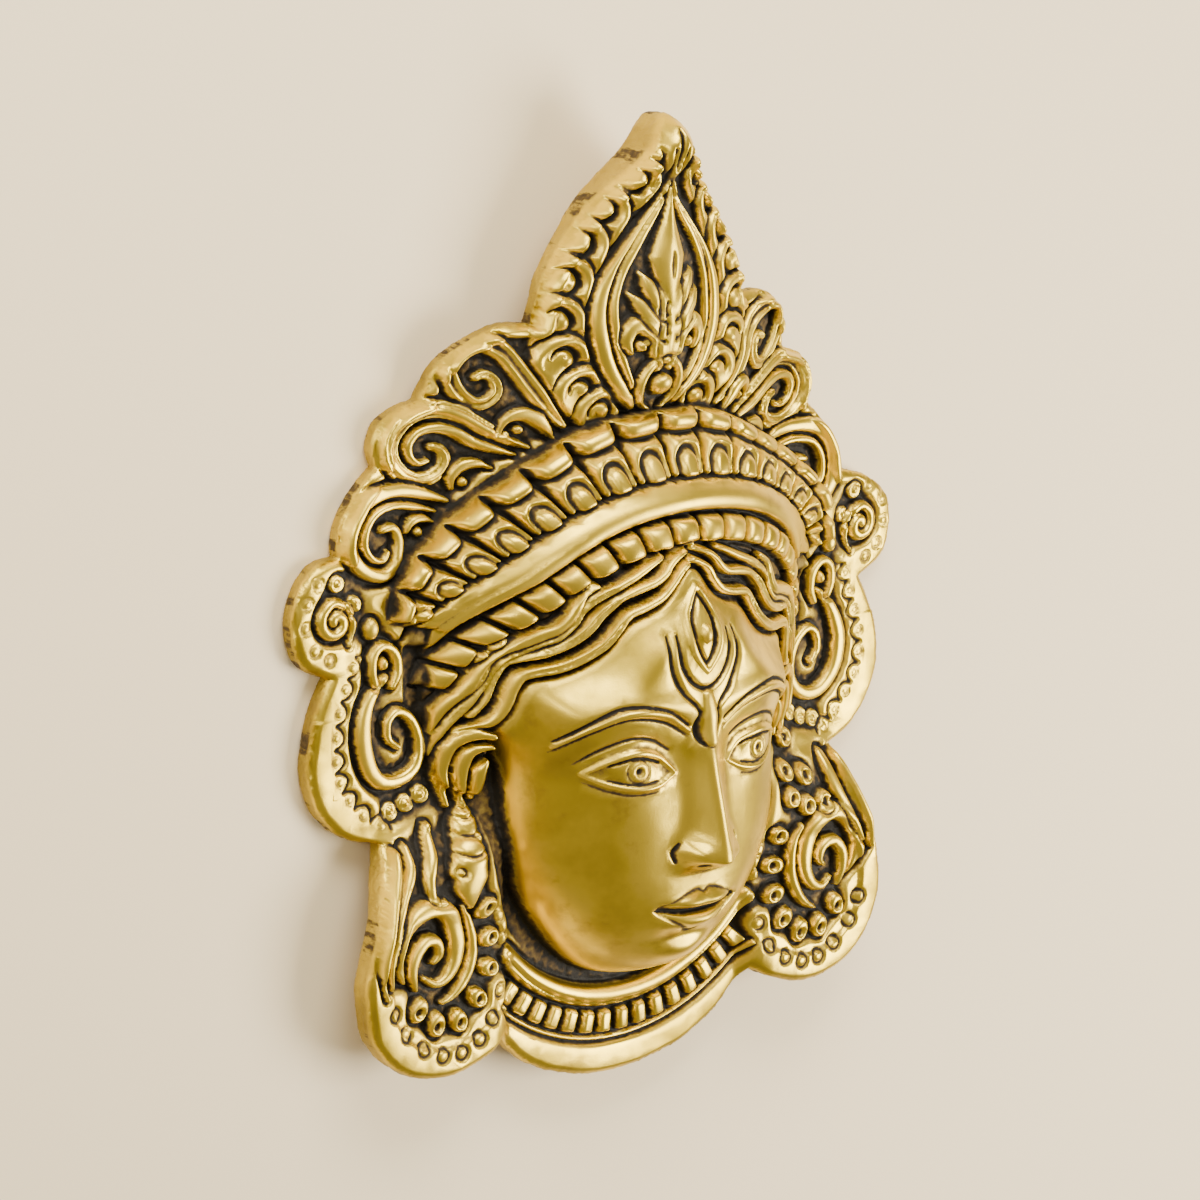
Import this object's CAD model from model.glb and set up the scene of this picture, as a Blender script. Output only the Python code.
# Relief mask in cast brass with a tall leaf-shaped crown, lying on its back on a pale floor. The
# front is a height field drawn from named lines; the mesh stands in for the solid "mask".
import math

import bpy
import numpy as np
from mathutils import Matrix, Vector


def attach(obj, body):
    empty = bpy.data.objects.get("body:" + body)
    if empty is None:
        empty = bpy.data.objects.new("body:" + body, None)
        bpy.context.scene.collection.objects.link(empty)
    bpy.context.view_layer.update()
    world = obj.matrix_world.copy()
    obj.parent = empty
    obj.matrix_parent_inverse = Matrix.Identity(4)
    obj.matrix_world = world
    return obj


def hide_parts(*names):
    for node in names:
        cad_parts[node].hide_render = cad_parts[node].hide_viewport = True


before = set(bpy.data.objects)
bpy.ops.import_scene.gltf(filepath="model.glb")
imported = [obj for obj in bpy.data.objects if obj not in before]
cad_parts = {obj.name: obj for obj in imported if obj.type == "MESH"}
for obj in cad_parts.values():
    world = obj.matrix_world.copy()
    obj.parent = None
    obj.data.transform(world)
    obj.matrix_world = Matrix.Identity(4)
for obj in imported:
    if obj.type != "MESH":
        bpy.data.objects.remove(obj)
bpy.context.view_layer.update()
unit = 0.001  # metres in one millimetre


# The drawing is in millimetres, x across and y towards the tip of the crown, seen from the front.
# "shiftY" brings it to the solid's place; the other values are the solid's own main sizes.
casting = {
    "shiftY": 1.8, "sway": 2.4, "wall": 4.2, "plate": 4.6, "leafPlate": 5.9, "pendantPlate": 6.4,
    "bowCrown": 7.5, "bowPendant": 8.5, "bowCollar": 5.5, "leafForward": 1.5, "tipForward": 5,
    "keel": 5, "keelTip": 2, "keelHalf": 16, "lobeSwell": 1, "crownSwell": 3, "swellReach": 12,
    "edgeRound": 1.4, "edgeDrop": 0.9, "leafRound": 3.2, "leafDrop": 2.4,
    "headTop": 30, "headFoot": 5, "headHalf": 49, "headFall": 0.34, "headLow": 37,
}

# The outline from notch to notch, right half
crownLeaf = [(0, 98.5), (2.6, 96.6), (7.2, 88.8), (16.8, 78.8), (24.4, 67.2), (26.6, 58.4)]
sideLobes = [
    [(26.6, 58.4), (34.4, 58.6), (42.2, 54), (46.8, 44.9)],
    [(46.8, 44.9), (53.8, 42.2), (56.6, 37), (55.6, 32.4)],
    [(55.6, 32.4), (61.4, 27.2), (64.8, 21), (65.2, 15.6)],
    [(65.2, 15.6), (71.6, 14.4), (77.2, 9.6), (78.8, 3), (76.6, -4), (69.8, -8)],
    [(69.8, -8), (73.4, -15), (75.4, -25), (73.6, -33.6), (68, -40), (59.8, -42.8)],
    [(59.8, -42.8), (62.8, -51), (66.8, -63), (68.4, -72), (66.4, -81.6), (59.4, -89), (48.8, -91.6),
        (39.4, -89.6), (33.4, -86.6)],
]
collarEdge = [(33.4, -86.6), (25.6, -94.7), (14, -100.2), (0, -102.1)]

# Evenly spaced samples over the whole mask; every relief below is an array of this shape
grid = {"step": 0.3, "halfWidth": 81, "low": -105, "high": 101.4}
step = grid["step"]
columns = round(grid["halfWidth"] / step)
xs = np.arange(-columns, columns + 1) * step
ys = np.arange(grid["low"], grid["high"], step)
gridX, gridY = np.meshgrid(xs, ys)


# 0 below one value, 1 above the other, with a smooth S between (3t^2 - 2t^3)
def smooth(start, end, value):
    t = np.clip((value - start) / (end - start), 0, 1)
    return t * t * (3 - 2 * t)


# a + (b - a) t
def mix(a, b, t):
    return a + (b - a) * t


# exp(-u^2 - v^2), with u and v the distances from a centre in units of its two radii
def swell(x, y, cx, cy, rx, ry):
    return np.exp(-((x - cx) / rx) ** 2 - ((y - cy) / ry) ** 2)


# exp(-((value - middle) / wide)^2)
def bell(value, middle, wide):
    return np.exp(-((value - middle) / wide) ** 2)


# The same points moved up by some millimetres
def lifted(points, by):
    return [(x, y + by) for x, y in points]


# The same points on the other side of the middle, -x for x
def mirrored(points):
    return [(-x, y) for x, y in points]


# A smooth path through a few points, its ends doubled: between b and c it is a cubic whose slope at
# each is half the step from neighbour to neighbour. It is cut into equal lengths.
def curve(points, spacing=0.6):
    p = np.asarray(points, float)
    ends = np.vstack([p[:1], p, p[-1:]])
    t = np.linspace(0, len(p) - 1, 24 * (len(p) - 1) + 1)
    k = np.minimum(t.astype(int), len(p) - 2)
    f = (t - k)[:, None]
    a, b, c, d = (ends[k + i] for i in range(4))
    square, cube = 2 * a - 5 * b + 4 * c - d, 3 * b - a - 3 * c + d
    fine = 0.5 * (2 * b + (c - a) * f + square * f**2 + cube * f**3)
    length = np.r_[0, np.cumsum(np.hypot(*np.diff(fine, axis=0).T))]
    at = np.linspace(0, length[-1], max(2, round(length[-1] / spacing)) + 1)
    return np.column_stack([np.interp(at, length, fine[:, i]) for i in (0, 1)])


# Points that wind out from an eye and end straight above it: the radius grows with the angle
def spiral(eye, first, last, turns):
    t = np.linspace(0, 1, math.ceil(turns * 12) + 1)
    angle = np.radians(90 - (1 - t) * turns * 360)
    radius = mix(first, last, t)
    return [(eye[0] + r * math.cos(a), eye[1] + r * math.sin(a)) for r, a in zip(radius, angle)]


# Rows and columns of the samples inside a box
def window(low, high):
    c0, r0 = (max(0, int((low[i] - (xs[0], ys[0])[i]) / step)) for i in (0, 1))
    c1, r1 = (min((len(xs), len(ys))[i], int((high[i] - (xs[0], ys[0])[i]) / step) + 2) for i in (0, 1))
    return r0, max(r0, r1), c0, max(c0, c1)


# The samples round a spot, and how far to the right of it and above it they are
def patch(spot, reach):
    spot = np.asarray(spot, float)
    r0, r1, c0, c1 = window(spot - reach, spot + reach)
    part = np.s_[r0:r1, c0:c1]
    return part, gridX[part] - spot[0], gridY[part] - spot[1]


# Distance from the samples to a path of straight pieces, and how far along it they are, 0 to 1
def near(path, reach):
    r0, r1, c0, c1 = window(path.min(0) - reach, path.max(0) + reach)
    far = np.full((r1 - r0, c1 - c0), float(reach))
    along = np.zeros_like(far)
    for k, (a, b) in enumerate(zip(path[:-1], path[1:])):
        i0, i1, j0, j1 = window(np.minimum(a, b) - reach, np.maximum(a, b) + reach)
        x = (xs[j0:j1] - a[0])[None, :]
        y = (ys[i0:i1] - a[1])[:, None]
        e = b - a
        s = np.clip((x * e[0] + y * e[1]) / max(e @ e, 1e-9), 0, 1)
        d = np.hypot(x - s * e[0], y - s * e[1])
        part = np.s_[i0 - r0:i1 - r0, j0 - c0:j1 - c0]
        closer = d < far[part]
        far[part] = np.where(closer, d, far[part])
        along[part] = np.where(closer, (k + s) / (len(path) - 1), along[part])
    return np.s_[r0:r1, c0:c1], far, along


# The row of crown lobes sits a little to one side of the middle: how far, away from the leaf
def swayAt(x, y):
    return casting["sway"] * smooth(24, 34, np.abs(x)) * smooth(8, 18, y) * smooth(60, 50, y)


# Both sides of the mask, one side, or as drawn, each a little uneven as work by hand is:
# two long sine waves of a fraction of a millimetre shift every point
def sides(points, side="both", uneven=0.22):
    for sign in {"both": (-1, 1), "left": (-1,), "right": (1,), "middle": (0,)}[side]:
        p = np.array(points, float)
        if sign:
            p[:, 0] *= sign
        shift = uneven * np.sin(p[:, ::-1] * 0.33 + p * 0.11 + 2.3 * sign)
        shift[:, 0] -= swayAt(*p.T)
        yield p + shift if sign else p


# The drawn relief of one ground: "top" is raised, "cut" is taken away after it
def newLayer():
    return {"top": np.zeros_like(gridX), "cut": np.zeros_like(gridX)}


# The higher of what is there and what is added
def keepHigher(layer, name, part, value):
    layer[name][part] = np.maximum(layer[name][part], value)


# Half width along a path, read off an evenly spread list
def widthAlong(half, along):
    half = np.atleast_1d(half).astype(float)
    return np.interp(along, np.linspace(0, 1, len(half)), half)


# Raised band along a path: rise (1 - u^p)^0.6 across it, with u the distance in half widths, less
# "flutes" narrow grooves side by side. It lies over the cuts that were there before.
def band(layer, points, half, rise, side="both", flutes=0, fluteDepth=0.5, p=2.2, edge=0.0):
    widest = float(np.max(half))
    for path in sides(points, side):
        part, far, along = near(curve(path), widest + 1.2)
        width = widthAlong(half, along)
        u = far / np.maximum(width, 0.05)
        height = rise * np.sqrt(width / widest) * np.clip(1 - np.clip(u, 0, 1) ** p, 0, 1) ** 0.6
        if flutes:
            wave = np.cos(np.pi * (flutes * u - (0 if flutes % 2 else 1)))
            height = height - fluteDepth * np.clip(wave, 0, 1) ** 2 * (u < 1) * smooth(0.5, 1.1, width)
        height = np.where(u < 1, height, 0)
        layer["cut"][part] *= np.where(height > layer["top"][part], smooth(0.75, 1, u), 1)
        keepHigher(layer, "top", part, height)
        if edge:
            keepHigher(layer, "cut", part, edge * bell(far - width, 0.25, 0.42) * (width > 0.25) * (u > 0.9))


# Groove along a path: depth exp(-u^2) across it, with u the distance in half widths
def groove(layer, points, half, depth, side="both"):
    for path in sides(points, side):
        part, far, along = near(curve(path), float(np.max(half)) * 1.6)
        width = widthAlong(half, along)
        across = bell(far / np.maximum(width, 0.05), 0, 1)
        keepHigher(layer, "cut", part, depth * across * smooth(0, 0.25, width))


# Bead: rise (1 - u^p)^0.5 over two half widths, turned by some degrees, with a groove round its
# foot and a hole in its middle where they are asked for
def bead(layer, centre, radii, rise, turn=0.0, side="both", edge=0.0, hole=0.0, p=2.0):
    rx, ry = (radii, radii) if np.isscalar(radii) else radii
    small = min(rx, ry)
    for (spot,) in sides([centre], side, 0.12):
        part, dx, dy = patch(spot, max(rx, ry) + 1.2)
        angle = math.radians(turn if spot[0] >= 0 or side == "left" else -turn)
        c, s = math.cos(angle), math.sin(angle)
        u = np.hypot((dx * c + dy * s) / rx, (dy * c - dx * s) / ry)
        keepHigher(layer, "top", part, rise * np.clip(1 - u**p, 0, 1) ** 0.5)
        keepHigher(layer, "cut", part, edge * bell((u - 1) * small, 0.28, 0.38))
        keepHigher(layer, "cut", part, hole * bell(u * small, 0, 0.62))


# Ring punch: a round groove of a given radius, depth exp(-((d - radius) / half)^2)
def punch(layer, centre, radius, depth=0.4, half=0.34, side="both"):
    for (spot,) in sides([centre], side, 0.15):
        part, dx, dy = patch(spot, radius + 1.5)
        keepHigher(layer, "cut", part, depth * bell(np.hypot(dx, dy), radius, half))


# Block with a rounded top: rise ((1 - u^6) (1 - v^8))^0.5, turned by some degrees
def block(layer, centre, half, turn, rise, edge):
    part, dx, dy = patch(centre, 5)
    c, s = math.cos(math.radians(turn)), math.sin(math.radians(turn))
    u = np.abs((dx * c + dy * s) / half[0])
    v = np.abs((dy * c - dx * s) / half[1])
    keepHigher(layer, "top", part, rise * np.sqrt(np.clip(1 - u**6, 0, 1) * np.clip(1 - v**8, 0, 1)))
    away = np.maximum((u - 1) * half[0], (v - 1) * half[1])
    keepHigher(layer, "cut", part, edge * bell(away, 0.3, 0.35))


# The strokes of one ornament in their order: each is made with its own tool at every path or spot
# of its list "at", moved first where that is asked for, and its other values are the tool's
def carve(layer, strokes, moved=None, **shared):
    for stroke in strokes.values():
        values = {name: value for name, value in stroke.items() if name not in ("tool", "at")}
        for where in stroke["at"]:
            stroke["tool"](layer, moved(where) if moved else where, **values, **shared)


# Soft lumps over the samples: random numbers on a lattice of the given cell, joined smoothly
def lumps(cell, seed, x=gridX, y=gridY):
    table = np.random.RandomState(seed).rand(256, 256) * 2 - 1
    u = x / cell + 1000.5
    v = y / cell + 1000.5
    i = np.floor(u).astype(int)
    j = np.floor(v).astype(int)
    fu, fv = smooth(0, 1, u - i), smooth(0, 1, v - j)
    at = lambda a, b: table[(i + a) % 256, (j + b) % 256]
    return mix(mix(at(0, 0), at(1, 0), fu), mix(at(0, 1), at(1, 1), fu), fv)


# Blur by a round bell of the given width in millimetres: its frequencies are damped by
# exp(-2 (pi width f)^2)
def blur(height, width):
    pad = int(4 * width / step) + 1
    wide = np.pad(height, pad, mode="edge")
    fy = np.fft.fftfreq(wide.shape[0], step)[:, None]
    fx = np.fft.rfftfreq(wide.shape[1], step)[None, :]
    damped = np.exp(-2 * (math.pi * width) ** 2 * (fx**2 + fy**2))
    return np.fft.irfft2(np.fft.rfft2(wide) * damped, wide.shape)[pad:-pad, pad:-pad]


# Distance from the closed outline to every sample, positive inside: a sample is inside where a line
# from it to the right crosses the outline an odd number of times
def outlineDistance():
    stretches = [mirrored(crownLeaf)[::-1] + crownLeaf[1:]] + sideLobes
    stretches += [collarEdge + mirrored(collarEdge)[::-1][1:]]
    stretches += [mirrored(lobe)[::-1] for lobe in sideLobes[::-1]]
    outline = np.vstack([curve(stretch)[:-1] for stretch in stretches])
    outline[:, 0] -= swayAt(*outline.T)
    closed = np.vstack([outline, outline[:1]])
    reach = 30
    part, far, _ = near(closed, reach)
    distance = np.full_like(gridX, reach)
    distance[part] = far
    within = np.zeros(gridX.shape, bool)
    for (ax, ay), (bx, by) in zip(closed[:-1], closed[1:]):
        rows = (ay > ys) != (by > ys)
        cross = ax + (bx - ax) * (ys[rows] - ay) / (by - ay) if rows.any() else ys[rows]
        within[rows] ^= xs[None, :] < cross[:, None]
    return np.where(within, distance, -distance)


# Bands of the diadem: parts of ellipses with their centre at height y0 and half axes a and b, which
# sag a little on the left: by how much, around which degree and how widely
circlet = {"y0": -16.1, "a": 53.8, "b": 38.9, "half": 3.1, "rise": 2.9, "end": 73, "sag": (2.6, -44, 20),
           "grooveDepth": 1.0}
beadRow = {"y0": -22.3, "a": 50.4, "b": 38.6, "half": 2.7, "rise": 2.6, "end": 76, "sag": (2.4, -46, 20),
           "count": 19, "fill": 0.86, "gapDepth": 1.3}
petals = {
    "width": 16.4, "end": 67, "count": 16, "rise": 1.2, "over": 3.4, "spread": 0.25,
    "shield": 1.5, "shieldEnd": 0.66, "brink": 0.94, "brinkDrop": 0.85,
    "cushion": 1.1, "cushionAt": 0.86, "cushionLong": 0.1,
    "archDepth": 1.8, "archHalf": 0.66, "archWide": 0.56, "archStart": 0.38,
    "slitDepth": 2.6, "slitHalf": (0.45, 1.2), "step": 0.72, "stepDepth": 1.3, "stepHalf": 0.04,
}
hairline = [(0, 9.8), (3, 7.8), (5.4, 4.6), (9, 1.8), (13.4, 0.4), (16.6, -2), (19.4, -5.2), (23, -7.8),
    (28, -9.8), (33, -10.8), (35, -13.8), (35.9, -17.6), (37.6, -20.8)]


# How far a band sags: deep exp(-((angle - where) / wide)^2)
def sagAt(ring, angle):
    deep, where, wide = ring["sag"]
    return deep * bell(angle, where, wide)


# Distance from an ellipse along its normal, positive outside, and degrees round it from the top
def aroundBand(ring, x, y):
    u = x / ring["a"]
    v = (y - ring["y0"]) / ring["b"]
    q = np.maximum(np.hypot(u, v), 1e-6)
    angle = np.degrees(np.arctan2(u, v))
    return (q - 1) * q / np.hypot(u / ring["a"], v / ring["b"]) + sagAt(ring, angle), angle


# Share of the crown leaf, which stands out from the lobes beside it
def leafAt(x, y):
    return np.maximum(smooth(54, 64, y), smooth(30, 22, np.abs(x)) * smooth(34, 60, y))


# How far the back of the plate stands forward: nothing behind the side lobes, most at the ends
def bowAt(x, y):
    ax = np.abs(x)
    reach = np.hypot((ax - 72) / 34, (y + 8) / np.where(y < -8, 31, 58))
    low = mix(casting["bowCollar"], casting["bowPendant"], smooth(30, 38, ax))
    amount = mix(casting["bowCrown"], low, smooth(-30, -60, y))
    forward = casting["leafForward"] * leafAt(x, y) + casting["tipForward"] * smooth(82, 98, y)
    return amount * smooth(0.88, 1.7, reach) + forward


# The plain plate: its back, its thickness, a swell away from the rim and the keel of the leaf
def plateAt(x, y, inside):
    ax = np.abs(x)
    thick = casting["plate"] + leafAt(x, y) * (casting["leafPlate"] - casting["plate"])
    thick = thick + smooth(-41, -47, y) * smooth(30, 34, ax) * (casting["pendantPlate"] - casting["plate"])
    ridge = casting["keel"] + casting["keelTip"] * smooth(72, 90, y)
    keel = ridge * np.exp(-(ax / casting["keelHalf"]) ** 2.2) * smooth(104, 92, y) * smooth(30, 46, y)
    most = mix(casting["lobeSwell"], casting["crownSwell"], smooth(28, 50, y))
    rise = most * (1 - np.exp(-inside / casting["swellReach"])) * smooth(-46, -30, y)
    field = smooth(5.2, 6.2, inside) * smooth(33, 36, ax) * smooth(-56, -60, y)
    return bowAt(x, y) + thick + rise + keel - field


# The head under hair and diadem: an arch across, (1 - u^2)^0.9, that sinks towards the crown and
# below the temples
def headAt(x, y):
    top = casting["headTop"] - casting["headFoot"] - casting["headFall"] * np.maximum(y - 9, 0)
    across = np.clip(1 - (x / casting["headHalf"]) ** 2, 0, 1) ** 0.9
    along = np.clip(1 - (np.maximum(-4 - y, 0) / casting["headLow"]) ** 2, 0, 1) ** 0.6
    return casting["headFoot"] + top * across * along


# The face in plain proportions: a domed oval, wider at the temples and narrower at the chin, and the
# heights of its features by thirds of it: hairline, brow, base of the nose, chin
face = {"base": 8, "rise": 27.4, "top": 10, "bottom": -79, "middle": -32, "half": 34, "temples": 12,
        "chin": 7, "longUp": 86}
third = (face["top"] - face["bottom"]) / 3
browY = face["top"] - third - 1
noseY = browY - third
mouthY = noseY - third * 0.36
eyeY = browY - 8.5

# Soft swellings and hollows: height, place and the two radii, on both sides of the middle
features = {
    "socket": (-3, 9.5, eyeY + 1, 5.5, 6), "temple": (-1.2, 21, eyeY, 8, 6),
    "eyeball": (2.4, 15.5, eyeY - 0.6, 7.2, 4.2), "nostril": (3.2, 4.9, noseY + 2.6, 2.3, 2.6),
    "roundMouth": (2, 0, mouthY + 0.4, 12, 5.4), "upperLip": (1.6, 2.8, mouthY + 2, 4.6, 1.5),
    "lowerLip": (2, 0, mouthY - 2.6, 6, 1.9), "underLip": (-1.6, 0, mouthY - 6.6, 6, 2),
    "chin": (2.8, 0, face["bottom"] + 6.5, 8, 5),
}


# rise f^0.55 over its base, f being 1 less powers of the distances from its middle
def faceAt(x, y):
    half = face["half"] + face["temples"] * smooth(-32, -5, y) - face["chin"] * smooth(-44, -78, y)
    length = np.where(y < face["middle"], face["middle"] - face["bottom"] + 1, face["longUp"])
    full = 1 - (np.abs(x) / half) ** 2.3 - (np.abs(y - face["middle"]) / length) ** 3.4
    return np.where(full > 0, face["base"] + face["rise"] * np.maximum(full, 0) ** 0.55, 0)


# The swellings added up, with the brow's arch, the ridge of the nose and the line between the lips
def featuresAt(x, y):
    ax = np.abs(x)
    arch = browY + 1 + 3 * np.sin(np.pi * np.clip(ax / 29, 0, 1))
    z = 1.5 * swell(ax, y, 14, arch, 13, 2.6)
    z += sum(height * swell(ax, y, *where) for height, *where in features.values())
    nose = np.clip((browY - 2 - y) / (browY - 2 - noseY), 0, 1)
    ends = smooth(noseY - 3, noseY + 1.5, y) * smooth(browY + 6, browY - 6, y)
    z += mix(1.5, 8.6, nose**1.3) * bell(ax, 0, mix(2.6, 4.4, nose)) * ends
    return z - 1.6 * bell(y, mouthY + 0.14 * ax**1.4 / 3, 0.9) * smooth(11, 8, ax)


# Slope of petals from the circlet down to the plate, each a rounded shield, rise (1 - u^4), with a
# small cushion behind it; also where a petal's own arch and the slits between petals are cut
def diademAt(x, y, floor, carved=1):
    outside, angle = aroundBand(circlet, x, y)
    turn, a = np.abs(angle), np.radians(angle)
    width = petals["width"] * (1 - 0.15 * smooth(8, 30, turn) - 0.3 * smooth(52, petals["end"], turn))
    climb = outside / width
    nx, ny = np.sin(a) / circlet["a"], np.cos(a) / circlet["b"]
    sag = sagAt(circlet, angle) / np.hypot(nx, ny)
    footX, footY = circlet["a"] * np.sin(a) - sag * nx, circlet["y0"] + circlet["b"] * np.cos(a) - sag * ny
    foot = np.maximum(headAt(footX, footY), floor)
    across = 2 * (((angle / petals["end"] + 1) / 2 * petals["count"]) % 1) - 1
    domed = carved * smooth(circlet["half"] - 1, circlet["half"] + 1, outside) * (1 - np.abs(across) ** 4)
    shield = petals["shield"] * smooth(petals["shieldEnd"] + 0.06, petals["shieldEnd"] - 0.06, climb)
    cushion = petals["cushion"] * bell(climb, petals["cushionAt"], petals["cushionLong"])
    top = mix(foot, floor + petals["over"], np.clip(climb, 0, 1))
    top = top + (petals["rise"] + shield + cushion) * domed
    past = np.clip((climb - petals["brink"]) / (1 - petals["brink"]), 0, 1)
    top = mix(top, floor, past**2 * petals["brinkDrop"])
    on = (climb > -0.2) & (climb < 1) & (turn < petals["end"])
    edge = smooth(petals["end"], petals["end"] - 2, turn)
    half = np.hypot(circlet["a"] * np.cos(a), circlet["b"] * np.sin(a))
    half = half * math.radians(petals["end"] / petals["count"])
    half = half * (1 + petals["spread"] * np.clip(climb, 0, 1))
    height = np.where(on, mix(floor, np.maximum(floor, top), edge), floor)
    return {"height": height, "on": on & (edge > 0.3), "u": across * half, "v": climb * width,
            "half": half, "width": width, "climb": climb, "edge": edge}


# Crown leaf: the groove round the almond, its two frames, the leaf that stands in them with its
# curls, tips and blade, the slit of the tip, and the cabochon in its pear
leaf = {
    "rimGroove": dict(tool=groove, at=[[(1.5, 92.4), (1.4, 87.5), (3.4, 83), (8.4, 76.8), (12.2, 71.4),
        (15.2, 65.7), (17, 59.8), (16.4, 53.9), (13.6, 47.8), (9.4, 42.3), (6.4, 39.8)]],
        half=[0.25, 0.6, 0.8, 0.9, 0.95, 0.95, 0.85, 0.6], depth=1.9),
    "outerFrame": dict(tool=band, at=[[(0.8, 85.4), (2.4, 81.8), (6.6, 76.2), (10.6, 70.8), (13.8, 65.4),
        (15.1, 59.8), (14.3, 54), (11.7, 48.2), (7.7, 43.2), (5.4, 40.8)]],
        half=[0.4, 0.9, 1.4, 1.7, 1.8, 1.7, 1.2], rise=1.9, p=2.6),
    "innerFrame": dict(tool=band, at=[[(1.2, 82.5), (3.4, 79), (7.2, 73.6), (10.2, 68), (11.7, 62),
        (11.4, 55.8), (9.2, 49.6), (6.4, 44.6)]], half=[0.3, 0.7, 0.95, 1, 1, 0.9, 0.6], rise=1.5, edge=1),
    "curl": dict(tool=band, at=[[(1.6, 48.6), (2.2, 52), (3.4, 55.2), (5.8, 57.4), (8.4, 56.8), (9.3, 54.2),
        (8, 51.8)]], half=[1.5, 2.1, 2.4, 2.3, 1.9, 1.4, 0.6], rise=2.2, edge=1.1, p=2.8),
    "curlEye": dict(tool=bead, at=[(5.9, 53.2)], radii=1.4, rise=1.8, edge=1.1),
    "tips": dict(tool=band, at=[[(1, 56.4), (4.6, 59.6), (8.6, 63.8)], [(1, 60.4), (3.6, 63.6), (6.6, 68)]],
        half=[2.1, 2.1, 1.7, 0.25], rise=2.3, edge=1, p=2.6),
    "blade": dict(tool=band, at=[[(0, 84.6), (0, 76.6), (0, 68.4), (0, 59.4), (0, 50.4)]],
        half=[0.3, 0.9, 1.8, 3.2, 4.5, 3.8, 2.8, 2.5, 2.5, 2.7, 2.2], rise=2.8, edge=1, p=1.7, side="middle"),
    "vein": dict(tool=groove, at=[[(0, 72), (0, 69.6), (0, 66.8)]], half=[0.2, 0.5, 0.2], depth=0.9,
        side="middle"),
    "tipLine": dict(tool=groove, at=[[(3.6, 92.8), (3.8, 89.6), (4.3, 86.6), (5.4, 84.4)]],
        half=[0.15, 0.5, 0.55, 0.2], depth=1.3),
    "slit": dict(tool=groove, at=[[(0, 96.2), (0, 94), (0, 91), (0, 87.8)]], half=[0.15, 0.6, 0.55, 0.15],
        depth=1.7, side="middle"),
    "pear": dict(tool=band, at=[[(0, 49.8), (3.4, 48.6), (4.9, 45), (3.8, 41.2), (1.4, 39.4)]],
        half=[0.7, 1, 1, 0.9, 0.5], rise=1.6, edge=1.1),
    "ring": dict(tool=punch, at=[(0, 44.9)], radius=2.85, depth=1.4, half=0.42, side="middle"),
    "cabochon": dict(tool=bead, at=[(0, 44.9)], radii=2.5, rise=2.6, side="middle"),
}

# Hooks along the leaf's rim, by their eyes. The shapes of one of them are drawn as steps outwards
# and downwards along the rim: its body, the dark line round its eye and the one over its back.
hooks = {
    "eyes": [(7.8, 86.4), (13.4, 80.6), (18.2, 74.2), (21, 67.2), (22.8, 59.3), (21.6, 51.4), (17.4, 45),
        (12.4, 40.4)],
    "sizes": [0.85, 0.95, 1, 1, 1, 1, 1, 1], "eyeRadius": 1.7, "eyeRise": 2,
    "border": dict(points=[(5.2, 91.6), (8.2, 86.6), (13.2, 80.6), (18, 74.2), (20.8, 67.2), (22.4, 59.3),
        (21.2, 51.4), (17.2, 45), (12, 40)], half=[1.2, 4.2, 5.4, 5.9, 6, 6, 5.9, 5.4, 4.2], rise=1.5, p=12),
    "one": {
        "body": dict(tool=band, at=[[(4.4, 1.6), (4.6, -1.6), (2.4, -3.8), (-0.8, -3.9), (-3.4, -2),
            (-4.2, 1.2), (-5.2, 4.8)]], half=[0.6, 1.1, 1.35, 1.45, 1.4, 1.1, 0.3], rise=2.1, p=3),
        "round": dict(tool=groove, at=[[(2.6, -1.4), (1.2, -2.5), (-0.8, -2.4), (-2.3, -0.9), (-2.2, 1.1),
            (-0.8, 2.4), (1.2, 2.2)]], half=[0.15, 0.35, 0.6, 0.75, 0.75, 0.55, 0.2], depth=1.8),
        "back": dict(tool=groove, at=[[(5.4, -3.6), (2.8, -5.5), (-0.8, -5.7), (-4.1, -4.2), (-5.7, -1),
            (-6.3, 2.2)]], half=[0.15, 0.3, 0.45, 0.6, 0.55, 0.25], depth=1.5),
    },
}


# The border of the leaf: a row of hooks, each a broad crest that comes off the rim, turns over a
# raised eye and runs to a point beside the almond. A step (o, d) is eye + size (o outward + d down).
def carveHooks(layer):
    spots = np.array(hooks["eyes"])
    down = np.gradient(spots, axis=0)
    down /= np.hypot(*down.T)[:, None]
    outward = np.column_stack([-down[:, 1], down[:, 0]])
    band(layer, **hooks["border"])
    for eye, out, along, size in zip(spots, outward, down, hooks["sizes"]):
        drawn = lambda steps: [tuple(eye + size * (o * out + d * along)) for o, d in steps]
        carve(layer, hooks["one"], drawn)
        bead(layer, eye, hooks["eyeRadius"] * size, hooks["eyeRise"])


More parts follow.
